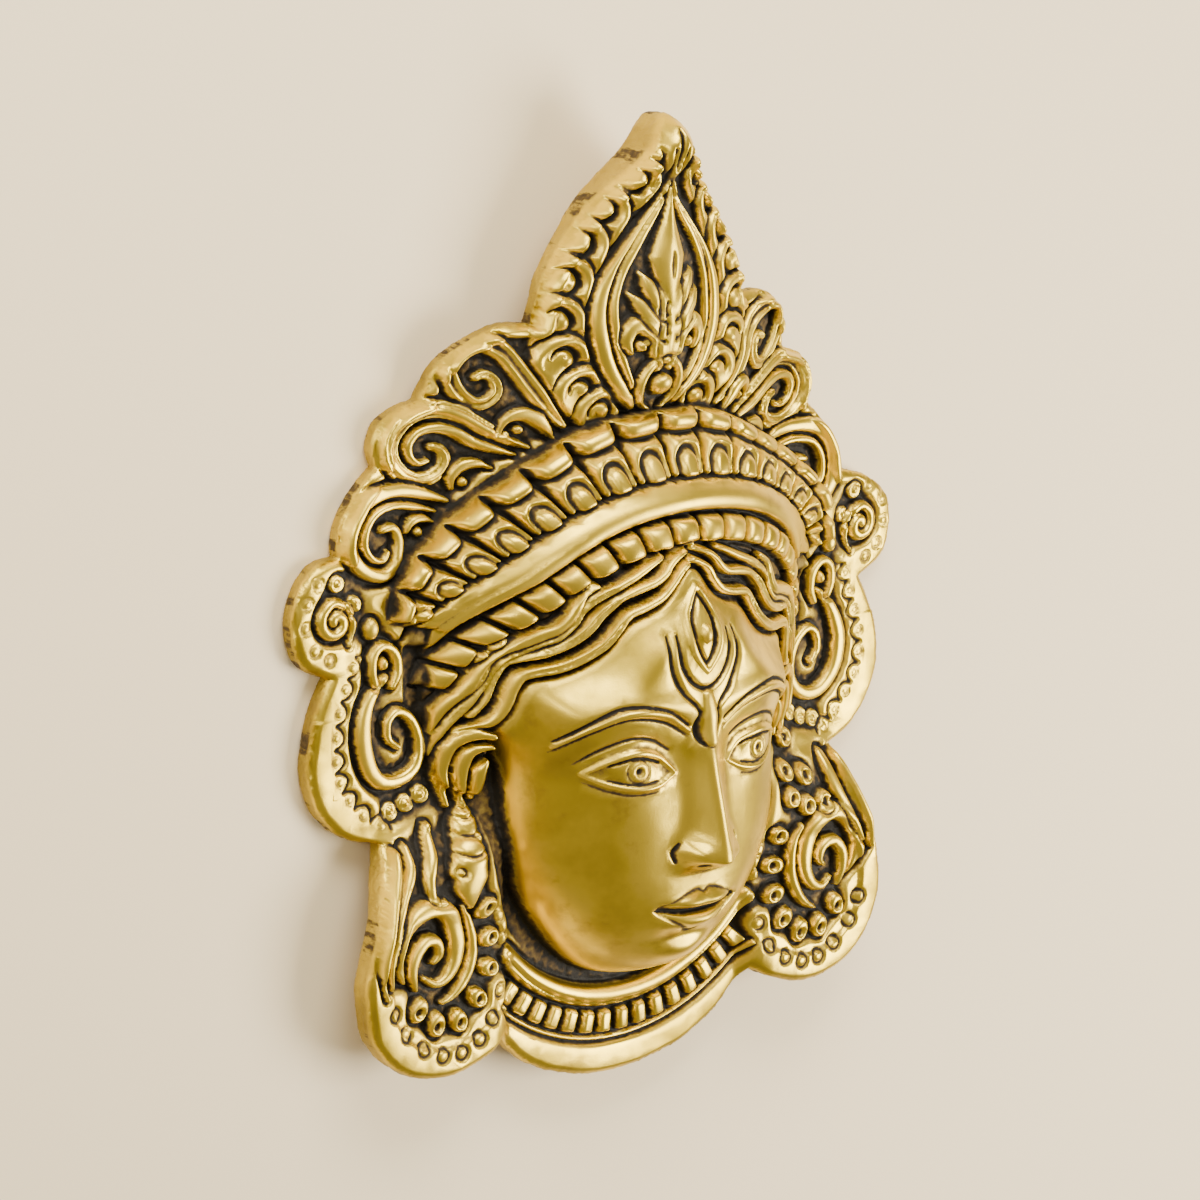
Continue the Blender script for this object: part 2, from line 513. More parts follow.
# Ribbons of the three crown lobes, each from its tail round into its eye, and the small curls
# that fill the corners between them
ribbons = {
    "high": dict(tool=band, at=[[(20.1, 37.5), (24.2, 41.4), (27.4, 46.6), (29.8, 51.1), (33, 54.6),
        (38, 56.4), (41, 55), (42.4, 51.8), (41.6, 48.4), (39.8, 45.6), (36.9, 43.8), (34.4, 44.4),
        (32.8, 46.4), (33.2, 48.8), (35, 50), (36.6, 49.4)]],
        half=[0.7, 1.4, 1.9, 2.1, 2.2, 2.2, 2.1, 1.9, 1.8, 1.7, 1.5, 1.2, 0.9], flutes=1, fluteDepth=1.1),
    "broad": dict(tool=band, at=[[(27, 34.4), (30.6, 36.6), (34.2, 38.6), (39.6, 41.6), (44, 43.2),
        (48.6, 43), (51.8, 40.8), (53.6, 37.6), (53.4, 33.8), (50.8, 30.6), (46.9, 29.2), (43.2, 30),
        (41.2, 32.2), (42, 34.8), (44, 35.8)]], half=[0.5, 1.4, 1.8, 2, 2.1, 2.2, 2.2, 2.1, 2, 1.8, 1.5, 0.9],
        flutes=2, fluteDepth=0.9),
    "broadInner": dict(tool=band, at=[[(28.6, 33), (35.4, 35.6), (40, 38.2), (44, 39.6), (47.8, 39.2),
        (49.6, 37), (49.1, 34.4), (47.2, 32.9), (45.2, 33.2)]], half=[0.4, 1.1, 1.3, 1.3, 1.2, 1, 0.7]),
    "low": dict(tool=band, at=[[(40.9, 24.6), (46.4, 26.7), (51.2, 27.5), (56, 27.3), (60, 25.8),
        (62.6, 22.8), (63.4, 19.4), (63, 15.8), (61, 12.8), (57.6, 11.4), (54.4, 12.6), (52.2, 15.4),
        (51.6, 18.4), (53, 20.4), (55.2, 20.2)]], half=[0.7, 1.4, 1.8, 2, 2.1, 2.1, 1.9, 1.6, 1.4, 1.2, 0.9]),
    "lowInner": dict(tool=band, at=[[(42.9, 22.7), (49.6, 24.4), (53.8, 24.7), (57.6, 23.6), (59.6, 20.9),
        (60, 17.8), (58.8, 15.2), (56.4, 14.4), (54.6, 15.8)]], half=[0.4, 0.9, 1, 1, 1, 0.9, 0.5]),
}
curls = {
    "high": dict(tool=band, at=[[(22, 35), (24, 37.4), (26.6, 40.2), (29, 41.4), (31, 40.4), (31.6, 38)]],
        half=[0.3, 1.2, 1.7, 1.6, 1.2, 0.5]),
    "broad": dict(tool=band, at=[[(32, 30.4), (35, 31.4), (38.2, 30.9), (39.9, 29), (39.6, 26.6)]],
        half=[0.3, 1.1, 1.5, 1.3, 0.5]),
    "low": dict(tool=band, at=[[(43.2, 20.6), (46, 21.6), (48.6, 21.2), (49.6, 19)]],
        half=[0.3, 1, 1.2, 0.5]),
}
curlEyes = {
    "eyes": dict(tool=bead, at=[(28.8, 38), (37.4, 27.8), (46.9, 18.9)], radii=1.15, rise=1.5, edge=1.3),
}

# Side lobe: flower with a spiral, rings and pits, the S-shaped scroll with a ring and a bulb at its
# upper end, and the beads below it
sideLobe = {
    "spiral": dict(tool=band, at=[spiral((69.4, 3.6), 0.5, 3.8, 1.25) + [(66.2, 5.6), (65, 2), (66.4, -1.6)]],
        half=[1.2, 1.4, 1.3, 1.2, 0.9, 0.4], rise=1.8, edge=1.2),
    "rings": dict(tool=bead, at=[(68.2, 11), (64.7, 6.3)], radii=1.9, rise=1.3, edge=1, p=4),
    "ringPits": dict(tool=punch, at=[(68.2, 11), (64.7, 6.3)], radius=1, depth=0.8),
    "knob": dict(tool=bead, at=[(60.6, 0.8)], radii=(1.8, 2.4), rise=1.8, edge=1.2),
    "pits": dict(tool=punch, at=[(72.6, 11.6), (75.8, 8.2), (76.4, 3.4), (74.4, -1.4), (71, -3.8)],
        radius=1.15, depth=0.45),
    "scroll": dict(tool=band, at=[[(57.6, -9.4), (60, -11.6), (62.2, -15.4), (63.2, -20.6), (62, -26.6),
        (59.2, -30.2), (55.4, -31.2), (51.6, -29.6), (49.6, -26.2), (49.6, -21.8), (51.6, -18.2),
        (54.6, -16.8), (56.8, -18.6), (57, -22), (55, -24)]],
        half=[0.9, 1.4, 1.8, 2, 2, 1.9, 1.8, 1.6, 1.4, 1.3, 1.2, 1.1, 1, 0.8], rise=2.2, edge=1.6, p=3),
    "scrollRing": dict(tool=band, at=[[(56.2, -11.4), (54.9, -8.2), (55.4, -4.6), (58, -2.8), (60.4, -4.2),
        (61, -7.4), (60.2, -10.4)]], half=[0.9, 1.15, 1.25, 1.2, 1.15, 1.1, 0.9], rise=2, edge=1.4, p=3),
    "bulb": dict(tool=bead, at=[(58, -6.6)], radii=(1.1, 1.6), rise=1.8, edge=1.1),
    "beads": dict(tool=bead, at=[(56.4, -37), (52.8, -36), (49.4, -34.6)], radii=1.9, rise=1, edge=0.9, p=5),
    "beadPits": dict(tool=punch, at=[(56.4, -37), (52.8, -36), (49.4, -34.6)], radius=1, depth=0.9,
        half=0.36),
}
scallops = {
    "points": [(62.6, -0.6), (64.6, -4.4), (66.2, -8.4), (67.6, -12.6), (69.2, -17.2), (69.8, -22.2),
        (69.4, -27), (67.6, -31.2), (64.8, -34.8), (61.2, -38), (57, -40.2)],
    "side": 1.4, "high": 2.1, "half": 0.4, "depth": 1.1, "pit": dict(radius=1, depth=0.5, half=0.3),
}


# The scalloped border of the side lobe: an arc over every step between two points, and a pit in it
def carveScallops(layer):
    points = np.array(scallops["points"])
    for a, b in zip(points[:-1], points[1:]):
        out = np.array([b[1] - a[1], a[0] - b[0]]) / math.dist(a, b)
        arc = [(0, 0), (0.2, scallops["side"]), (0.5, scallops["high"]), (0.8, scallops["side"]), (1, 0)]
        groove(layer, [mix(a, b, t) + far * out for t, far in arc], scallops["half"], scallops["depth"])
        punch(layer, mix(a, b, 0.5) + 0.1 * out, **scallops["pit"])


# Ear pendant: a spiral whose outer turn runs out of the rim, an arc beside it, drop beads with a
# hole, and a border of ring punches
pendant = {
    "outer": dict(tool=band, at=[[(59.4, -70.2), (61.6, -65.8), (60.8, -61), (57.8, -57), (53.9, -55.3),
        (50, -56.4), (47.4, -60.4), (47, -65.4), (48.6, -69.6), (51.6, -71.4), (54.6, -70)]],
        half=[0.5, 1.5, 1.9, 2.1, 2.2, 2.2, 2.2, 2.1, 1.8, 1.3, 0.6], rise=2.6, edge=1.2, p=2.8),
    "inner": dict(tool=band, at=[[(56.6, -72.2), (58, -68), (57.2, -64.4), (54.6, -62), (51.9, -62.6),
        (51.2, -65.2), (52.6, -66.8)]], half=[0.5, 1.2, 1.5, 1.6, 1.5, 1.2, 0.7], rise=2.5, edge=1.2, p=2.6),
    "arc": dict(tool=band, at=[[(45.2, -56.6), (43.3, -61.4), (43, -66.6), (44.6, -71.4), (47.2, -74.4),
        (49.8, -75.8)]], half=[0.6, 1.2, 1.4, 1.5, 1.3, 0.6], rise=2.4, edge=1.1),
    "rings": dict(tool=punch, at=[(34.9, -60.6), (34.1, -66), (34.1, -71.4), (34.9, -76.8), (37.4, -82),
        (41.4, -85.4), (46, -87.2), (50.8, -87), (55.4, -84.8), (59.6, -80.8), (62.2, -76)], radius=1.45,
        depth=0.75, half=0.36),
}
drops = {
    "middle": (51.4, -66),
    "at": [(39.3, -58.2), (38.3, -64.6), (38.5, -71), (41.2, -76.8), (46, -80.4), (51.6, -80.2), (56, -76.4)],
    "body": dict(radii=(2.9, 2.1), rise=2.2, edge=1.1, p=4),
    "hole": dict(radius=0.45, depth=1.7, half=0.55),
}


# Drop beads that point away from the pendant's middle, each with its hole half a millimetre out
def carveDrops(layer):
    for spot in np.array(drops["at"]):
        away = spot - drops["middle"]
        bead(layer, spot, turn=math.degrees(math.atan2(away[1], away[0])), **drops["body"])
        punch(layer, spot + 0.5 * away / np.hypot(*away), **drops["hole"])


# Left ear: long ribbed strands, a short band, and a tiered drop that ends in a bird's head
leftEar = {
    "strands": dict(tool=band, at=[[(55.8, -43.6), (56.6, -48), (59.6, -53), (62.2, -58.4), (63.6, -64.4),
        (62.8, -70.6)], [(58.8, -44), (60.4, -49), (63, -54.4), (64.9, -60), (65.6, -66), (64.6, -72)]],
        half=[0.9, 1.4, 1.5, 1.3, 0.9, 0.4], rise=2.1, edge=1.1),
    "band": dict(tool=band, at=[[(49.6, -40.8), (51, -45.4), (52.6, -49.8), (52.4, -53.4), (49.6, -54.6)]],
        half=[1, 1.4, 1.5, 1.2, 0.5], rise=2.2, edge=1.1),
    "drop": dict(tool=band, at=[[(41.4, -36.2), (41.6, -40), (42.1, -44), (42.8, -47)]],
        half=[0.8, 2.6, 3.4, 3.9], rise=3.2, edge=1.1, p=2.8),
    "bird": dict(tool=band, at=[[(43, -47), (43.6, -50), (44, -53.4), (43.4, -57)]],
        half=[3.9, 4.4, 3.2, 0.9], rise=3.1, edge=1.1, p=2.8),
    "tiers": dict(tool=groove, at=[[(39.1, -38.7), (41.5, -39.8), (43.9, -38.9)], [(38.6, -41.9), (41.9, -43),
        (45.2, -42.1)], [(38.7, -45.5), (42.6, -46.6), (46.5, -45.7)]], half=0.34, depth=1.1),
    "eye": dict(tool=punch, at=[(46, -49.6)], radius=0.8, depth=1.3, half=0.4),
    "beak": dict(tool=groove, at=[[(47.6, -51.4), (49.4, -53.2), (51.2, -54.6)]], half=[0.9, 0.8, 0.3],
        depth=1.8),
}

# Right ear: drop beads with a hole, and a slit leaf
rightEar = {
    "beads": dict(tool=bead, at=[(45.2, -38.7), (42.4, -44.6), (48, -46.6), (42.7, -50.2), (52.2, -52.8),
        (47, -52.6)], radii=2.4, rise=2.2, edge=1.1, p=4),
    "holes": dict(tool=punch, at=[(45.2, -38.7), (42.4, -44.6), (48, -46.6), (42.7, -50.2), (52.2, -52.8),
        (47, -52.6)], radius=0.5, depth=1.7, half=0.55),
    "leaf": dict(tool=band, at=[[(55.2, -43.8), (56.6, -50), (59.6, -56.6), (62.4, -62.6)], [(58.8, -44.4),
        (61, -51.4), (63.2, -58), (64.8, -64.6)]], half=[1.3, 1.9, 1.7, 0.6], rise=2.2, edge=1.1, p=2.6),
}

# Hair: waved strands from the parting past the temple, the locks that fall below it, right half, and
# which strands are split: from where to where along them
hair = {
    "strands": dict(tool=band, at=[
        [(0, 11.2), (3.4, 9.4), (5.4, 6.6), (8, 4), (11.7, 2.6), (15.5, 1.6), (18, -1.2), (20, -3.8),
            (22.4, -5.8), (25.2, -7.4), (28.4, -8.4), (31.8, -8.8), (34.9, -9.8), (36.4, -12.6), (37.2, -16),
            (38.4, -18.9), (41, -20.8), (43.6, -21.8), (45.2, -23.8), (46.3, -27.2), (47, -31.4)],
        [(0.4, 13.4), (3.4, 12.4), (5.8, 10.8), (7.6, 8.6), (9.8, 7.2), (13.2, 6.4), (16.7, 5.6), (19, 4),
            (21.3, 2), (23, -0.2), (25, -2.2), (27.6, -3.8), (31, -5), (34.5, -5.6), (37.2, -6.6),
            (38.8, -8.8), (39.9, -11.8), (40.6, -15), (42.2, -18.2)],
        [(7.4, 12.4), (12.5, 9.7), (17.7, 7.4), (22.3, 5.2), (24.8, 3), (26.2, 0.6), (28.6, -1.7), (32, -2.8),
            (35.5, -4), (38.2, -5.8), (40.2, -8.4), (41.5, -11.6), (43, -15.4), (44.8, -18.2), (46.4, -21),
            (47.4, -23.8), (48.5, -26.4)],
        [(21.1, 8.1), (23.9, 6.3), (25.6, 3.8), (27, 1.4), (29, -0.4), (31.6, -1.2), (34.6, -2.4), (38, -4),
            (40.6, -6.7), (42.1, -10.6), (44.6, -13.8), (46.9, -17.2), (48.6, -21.6), (49.4, -25.5)],
    ], half=[0.8, 1.05, 1.25, 1.35, 1.35, 1.2, 0.8], rise=2.1, edge=1.2, p=2.6),
}
locks = {
    "locks": dict(tool=band, at=[
        [(35.3, -23.9), (40.4, -22.4), (45, -24.1), (46.6, -29.2), (45.8, -33), (44.6, -37)],
        [(37, -25.2), (41.4, -25.4), (43.2, -28.6), (42.8, -32.6), (41.6, -37)],
        [(38.6, -28), (40, -30.6), (39.6, -36)],
    ], half=[0.5, 1.3, 1.5, 1.3, 0.7], rise=2.2, edge=1.3, p=2.6),
}
splits = {"where": [(0, 0.3, 0.62), (1, 0.36, 0.7), (2, 0.2, 0.52), (2, 0.6, 0.9)],
          "half": [0.15, 0.4, 0.4, 0.15], "depth": 0.9}


# The dark lines along the middle of some strands, from one share of their length to another
def carveSplits(layer):
    for k, start, end in splits["where"]:
        path = curve(hair["strands"]["at"][k], 1.5)
        groove(layer, path[int(start * len(path)):int(end * len(path))], splits["half"], splits["depth"])


# Forehead: an upright eye in two lids, a crescent with its points up, and a drop below it; "halves"
# is drawn on both sides of the middle
forehead = {
    "eye": dict(tool=bead, at=[(0, -3.4)], radii=(1.25, 1.9), rise=1.2),
    "halves": {
        "lid": dict(tool=groove, at=[[(0, 4.2), (2.3, 0.2), (2.7, -3.4), (1.9, -6.6), (0, -9.6)]],
            half=[0.25, 0.5, 0.65, 0.5, 0.25], depth=1.2),
        "border": dict(tool=band, at=[[(0, 6), (3.4, 0.8), (3.9, -3.8), (2.8, -7.6), (0, -11.2)]],
            half=[0.4, 0.8, 0.85, 0.8, 0.4], rise=0.7),
        "crescentInside": dict(tool=groove, at=[[(6.4, -3.2), (6.2, -8.6), (4.2, -12.4), (1.6, -14.3),
            (0, -14.6)]], half=[0.2, 0.6, 0.6, 0.5, 0.45], depth=1.2),
        "crescentOutside": dict(tool=groove, at=[[(8.4, -3.2), (8.6, -9.4), (6.2, -14.6), (3, -17.8),
            (2.4, -19.6)]], half=[0.2, 0.6, 0.65, 0.5, 0.3], depth=1.2),
        "dropEdge": dict(tool=groove, at=[[(2.2, -19), (2.9, -22), (2, -25), (0, -26.2)]],
            half=[0.3, 0.6, 0.6, 0.35], depth=1.1),
    },
    "drop": dict(tool=band, at=[[(0, -16), (0, -20), (0, -24.6)]], half=[1.2, 1.7, 1.9], rise=1),
}


# The eye, then the halves with their x turned to each side, then the drop over them
def carveForehead(layer):
    carve(layer, {"eye": forehead["eye"]}, side="middle")
    for sign in (-1, 1):
        carve(layer, forehead["halves"], lambda path: [(sign * x, y) for x, y in path], side="middle")
    carve(layer, {"drop": forehead["drop"]}, side="middle")


# Brows, lids, eyeball and pupil, at the heights that the features have
brow = lifted([(4.6, -2), (11, 2.2), (19, 3.2), (25.5, 0.6), (30, -3.4)], browY)
upperLid = lifted([(6.8, -1.8), (10.6, 1.7), (16, 3.1), (20.8, 1.9), (25.2, -0.8)], eyeY)
lowerLid = lifted([(6.8, -1.8), (11, -4), (16, -4.4), (21, -3), (25.2, -0.8)], eyeY)
fold = lifted([(8, 2.8), (12.4, 5.4), (17.4, 6), (22.4, 4.2), (26.4, 1.2)], eyeY)
eyes = {
    "overBrow": dict(tool=groove, at=[lifted(brow, 1.1)], half=[0.3, 0.5, 0.55, 0.5, 0.2], depth=0.9),
    "brow": dict(tool=band, at=[brow], half=[0.5, 1, 1.1, 0.9, 0.4], rise=0.9),
    "underBrow": dict(tool=groove, at=[lifted(brow, -1.3)], half=[0.2, 0.35, 0.4, 0.35, 0.2], depth=0.5),
    "fold": dict(tool=groove, at=[fold], half=[0.2, 0.4, 0.45, 0.4, 0.15], depth=0.7),
    "upperLid": dict(tool=band, at=[upperLid], half=[0.4, 0.85, 0.95, 0.8, 0.35], rise=1.1),
    "lowerLid": dict(tool=band, at=[lowerLid], half=[0.4, 0.65, 0.7, 0.6, 0.35], rise=0.8),
    "underUpperLid": dict(tool=groove, at=[lifted(upperLid[1:4], -1)], half=[0.25, 0.4, 0.25], depth=0.9),
    "overLowerLid": dict(tool=groove, at=[lifted(lowerLid[1:4], 0.8)], half=[0.2, 0.32, 0.2], depth=0.6),
    "underLowerLid": dict(tool=groove, at=[lifted(lowerLid[1:], -1.5)], half=[0.2, 0.3, 0.3, 0.15],
        depth=0.45),
    "iris": dict(tool=punch, at=[(15.6, eyeY - 0.7)], radius=2.3, depth=0.5, half=0.3),
    "pupil": dict(tool=punch, at=[(15.6, eyeY - 0.7)], radius=0, depth=1.3, half=0.75),
}


# A line across the mouth: its middle drops, its ends lift
def lipLine(drop, lift, reach):
    half = [(reach / 2, mouthY + drop / 2), (reach, mouthY + lift)]
    return mirrored(half)[::-1] + [(0, mouthY + drop)] + half


# Mouth and nostrils: the line between the lips, their edges, the corners and the wings of the nose
mouth = {
    "lips": dict(tool=groove, at=[lipLine(-0.2, 0.9, 10.4)], half=[0.35, 0.5, 0.55, 0.5, 0.35], depth=1.1,
        side="middle"),
    "bow": dict(tool=groove, at=[lifted([(-10, 1.2), (-5, 3.6), (-1.6, 4.6), (0, 3.9), (1.6, 4.6), (5, 3.6),
        (10, 1.2)], mouthY)], half=0.36, depth=0.55, side="middle"),
    "lowerEdge": dict(tool=groove, at=[lipLine(-5.4, 0.2, 9.6)], half=[0.25, 0.45, 0.5, 0.45, 0.25],
        depth=0.6, side="middle"),
    "corner": dict(tool=bead, at=[(10.8, mouthY + 0.9)], radii=0.9, rise=0.3, hole=0.5),
    "wing": dict(tool=groove, at=[lifted([(7.2, 4.6), (8.2, 2.6), (7.4, 0.4)], noseY)], half=[0.3, 0.5, 0.3],
        depth=0.8),
    "nostril": dict(tool=bead, at=[(3.2, noseY + 0.2)], radii=(1.5, 0.8), rise=0, hole=1),
}

# Collar: a smooth roll, a channel of blocks between two thin rims, and the outer band. Each arc is
# given by the height of its centre, its radius and how far it reaches to both sides.
collar = {
    "roll": {"arc": (-43.9, 41.2, 31.5), "stroke": dict(half=2.4, rise=2.8, edge=1, p=2)},
    "innerRim": {"arc": (-46.8, 40.7, 33.5), "stroke": dict(half=0.5, rise=0.9, edge=0.7)},
    "outerRim": {"arc": (-46.8, 47.8, 33.5), "stroke": dict(half=0.55, rise=0.9, edge=0.7)},
}
blocks = {"arc": (-46.8, 44.3, 30), "count": 15, "shape": dict(half=(1.5, 2.5), rise=1.7, edge=0.9)}


# Arcs y = y0 - (radius^2 - x^2)^0.5, and blocks that stand across the channel
def carveCollar(layer):
    for part in collar.values():
        y0, radius, reach = part["arc"]
        points = [(x, y0 - math.sqrt(radius**2 - x * x)) for x in np.linspace(-reach, reach, 25)]
        band(layer, points, side="middle", **part["stroke"])
    y0, radius, reach = blocks["arc"]
    widest = math.asin(reach / radius)
    for angle in np.linspace(-widest, widest, blocks["count"]):
        centre = (radius * math.sin(angle), y0 - radius * math.cos(angle))
        block(layer, centre, turn=math.degrees(angle), **blocks["shape"])


# What the eye takes for age and hand work. Lumps are given by cell, height and seed: broad dents, the
# wavy outline, the coarse ground and the rough sides. The ground sinks near ornament and head: a
# "...Wide" says how far away they count, a "...From" the shares at which that begins and is full.
surface = {
    "dents": [(7, 0.1, 3), (2.4, 0.035, 4)], "outlineWaves": [(6, 0.16, 5), (1.9, 0.1, 6)],
    "grain": (0.8, 0.22, 21), "sideLumps": [(0.9, 1, 11), (3.1, 0.7, 12)],
    "filed": 0.16, "bulge": 0.35, "rimRows": 14, "sunk": 1.2, "deeper": 0.4, "betweenHair": 0.8,
    "softened": 0.14, "triangles": 192000, "crowdWide": 2.2, "crowdFrom": (0.14, 0.36), "headWide": 3.0,
    "headFrom": (0.02, 0.10), "rimFree": (1.8, 2.8), "lowTop": 0.5, "cutLeft": 0.3, "gritDark": 0.3,
    "rimBright": (0.2, 1.8),
}

# What counts as a narrow hollow, a wide one, the foot of a step and a proud edge: the width in
# millimetres of the blur that shows it, the depth at which it is full, and its share of the dark
wear = {"narrow": (0.8, 0.42, 0.75), "wide": (2.2, 1.2, 0.35), "foot": (0.6, 0.5, 0.7), "proud": 0.35}


# The three drawn layers: on the plate, where it fades at the rim, on the head and on the face
def drawnLayers(inside):
    ornament, onHead, onFace = newLayer(), newLayer(), newLayer()
    carveHooks(ornament)
    carve(ornament, leaf)
    carve(ornament, ribbons, rise=2, p=3, edge=1.3)
    carve(ornament, curls, rise=1.9, p=3, edge=1.2)
    carve(ornament, curlEyes)
    carve(ornament, sideLobe)
    carveScallops(ornament)
    carve(ornament, pendant)
    carveDrops(ornament)
    carve(ornament, leftEar, side="left")
    carve(ornament, rightEar, side="right")
    carve(ornament, locks)
    carveCollar(ornament)
    for name in ornament:
        ornament[name] *= smooth(0, 0.8, inside)
    carve(onHead, hair)
    carveSplits(onHead)
    carve(onHead, locks)
    carveForehead(onFace)
    carve(onFace, eyes)
    carve(onFace, mouth)
    return ornament, onHead, onFace


# How much of skin each sample is, 0 to 1 across the hairline, and how fully the face comes out of
# the head, which takes 9 mm below the hairline and less beside the eyes
def skinAt():
    edge = np.interp(np.abs(gridX), *np.array(hairline).T, right=-1e3)
    part, far, _ = near(curve(mirrored(hairline)[::-1] + hairline[1:], 2), 12)
    fromHair = np.full_like(gridX, 12)
    fromHair[part] = far
    skin = np.where(gridY < edge, smooth(0, 1.4, fromHair), 0)
    forward = blur(np.where(gridY < edge, smooth(0, 9, fromHair), 0), 1.5)
    return skin, mix(forward, 1, smooth(-20, -32, gridY))


# The whole front as heights in millimetres, with the solid's own domes under the carving: plain
# form + top - cut, then dents, grain and a light blur. Also the plain form that the back follows,
# and what the finish reads: coarse ground, recess and wear.
def frontRelief():
    inside = outlineDistance()
    for cell, size, seed in surface["outlineWaves"]:
        inside = inside + size * lumps(cell, seed)
    ornament, onHead, onFace = drawnLayers(inside)
    floor = plateAt(gridX, gridY, np.maximum(inside, 0))
    ring, angle = aroundBand(circlet, gridX, gridY)
    framed = (ring < 0) | (gridY < circlet["y0"])
    skin, forward = skinAt()
    dome, oval = headAt(gridX, gridY), faceAt(gridX, gridY)
    oval = mix(np.minimum(dome, oval), oval, forward)
    head = np.where(framed, mix(dome, oval + featuresAt(gridX, gridY), skin), 0)
    diadem = diademAt(gridX, gridY, floor)
    onPlate, onDiadem = head < floor + 0.5, diadem["height"] > floor + 0.5
    beads = beadsAt()

    crowded = blur((ornament["top"] > 0.3).astype(float), surface["crowdWide"])
    beside = blur((~onPlate).astype(float), surface["headWide"])
    crowd = np.maximum(smooth(*surface["crowdFrom"], crowded), smooth(*surface["headFrom"], beside))
    crowd = crowd * smooth(*surface["rimFree"], inside)
    ground = np.clip(1 - ornament["top"] / surface["lowTop"], 0, 1) * crowd
    bare = np.clip(1 - np.maximum(onHead["top"], beads) / surface["lowTop"], 0, 1)
    sunk = surface["sunk"] * (crowd + surface["deeper"] * ground)
    sunk = sunk + ornament["cut"] * mix(1, surface["cutLeft"], ground)
    top = np.where(onPlate, ornament["top"], mix(onHead["top"], onFace["top"], skin))
    cut = np.where(onPlate, sunk, mix(onHead["cut"] + surface["betweenHair"] * bare, onFace["cut"], skin))

    front = np.maximum(np.maximum(floor, head), diadem["height"]) + np.where(onDiadem, 0, top - cut)
    roll, onCirclet = circletAt(ring, angle)
    front += diademDetail(diadem) + roll + beads * (1 - onCirclet)
    onLeaf = smooth(56, 62, gridY)
    reach = mix(casting["edgeRound"], casting["leafRound"], onLeaf)
    rounding = mix(casting["edgeDrop"], casting["leafDrop"], onLeaf) * np.clip(1 - inside / reach, 0, 1) ** 2
    front -= rounding
    for cell, size, seed in surface["dents"]:
        front += size * lumps(cell, seed)
    betweenHair = bare * (1 - skin) * (ring < -circlet["half"])
    grit = np.where(onDiadem, 0, np.where(onPlate, ground, betweenHair))
    cell, size, seed = surface["grain"]
    front = blur(front + grit * size * lumps(cell, seed), surface["softened"])

    slope = diademAt(gridX, gridY, floor, 0)["height"]
    base = np.maximum(slope, np.where(framed, mix(dome, oval, skin), 0))
    recess, worn = wearOf(front, np.maximum(slope, head) - rounding)
    recess = np.clip(recess + surface["gritDark"] * grit, 0, 1) * smooth(*surface["rimBright"], inside)
    return front, base, inside, grit, recess, worn


# Hollows and proud edges: how far the carving lies below or above itself blurred, and the foot of
# every step of the plain form under it, each divided by its full depth
def wearOf(front, plain):
    carving = front - plain
    narrow = blur(carving, wear["narrow"][0]) - carving
    recess = 0
    for name, hollow in (("narrow", narrow), ("wide", blur(carving, wear["wide"][0]) - carving),
                         ("foot", blur(plain, wear["foot"][0]) - plain)):
        _, full, share = wear[name]
        recess = recess + np.clip(hollow / full, 0, 1) * share
    return np.clip(recess, 0, 1), np.clip(-narrow / wear["proud"], 0, 1)


# The petals' own cuts: an arch open towards the circlet, a step before the cushion behind it, and
# slits between that open outwards, each exp(-(distance / half width)^2)
def diademDetail(d):
    half, v, climb = d["half"], d["v"], d["climb"]
    beyond = np.maximum(v - d["width"] * petals["archStart"], 0) * 0.8
    arch = bell(np.hypot(d["u"], beyond), half * petals["archWide"], petals["archHalf"]) * smooth(2.8, 3.6, v)
    slitHalf = mix(*petals["slitHalf"], smooth(0.3, 0.9, climb))
    slit = bell(half - np.abs(d["u"]), 0, slitHalf) * smooth(2.4, 3.4, v)
    stepped = bell(climb - 0.05 * (d["u"] / half) ** 2, petals["step"], petals["stepHalf"])
    cut = petals["archDepth"] * arch + petals["slitDepth"] * slit + petals["stepDepth"] * stepped
    return np.where(d["on"], -cut * smooth(1, 0.93, climb) * d["edge"], 0)


# The circlet's roll: rise (1 - u^2)^0.5, fading at its ends, with a groove on both sides
def circletAt(ring, angle):
    far, half = np.abs(ring), circlet["half"]
    on = smooth(circlet["end"], circlet["end"] - 3, np.abs(angle))
    roll = circlet["rise"] * np.clip(1 - (ring / half) ** 2, 0, 1) ** 0.5
    cut = circlet["grooveDepth"] * bell(far - half, 0.35, 0.5)
    return (roll - cut) * on, on * smooth(half + 0.6, half - 0.2, far)


# Square beads with rounded tops in a row under the circlet, with dark gaps between them:
# rise ((1 - u^3.2) (1 - v^2.8))^0.55
def beadsAt():
    ring, angle = aroundBand(beadRow, gridX, gridY)
    u = np.abs(ring) / beadRow["half"]
    along = (angle / beadRow["end"] + 1) / 2 * beadRow["count"]
    v = np.abs(2 * (along % 1) - 1) / beadRow["fill"]
    bump = np.clip((1 - np.clip(u, 0, 1) ** 3.2) * (1 - np.clip(v, 0, 1) ** 2.8), 0, 1) ** 0.55
    gap = np.maximum(bell(v, 1.1, 0.14) * smooth(1.15, 0.9, u), bell(ring + beadRow["half"], -0.35, 0.5))
    return np.where(np.abs(angle) < beadRow["end"], beadRow["rise"] * bump - beadRow["gapDepth"] * gap, 0)


# The hollow behind the head, a wall's thickness behind the plain form of the front
def backRelief(base, inside):
    flat = bowAt(gridX, gridY)
    rise = blur(base, 1.6) - casting["wall"] - flat
    hollow = smooth(4, 9, rise) * smooth(4, 9, inside) * smooth(44, 36, gridY)
    return flat + np.maximum(rise, 0) * hollow + 0.3 * np.clip(1 - inside / 0.8, 0, 1) ** 2


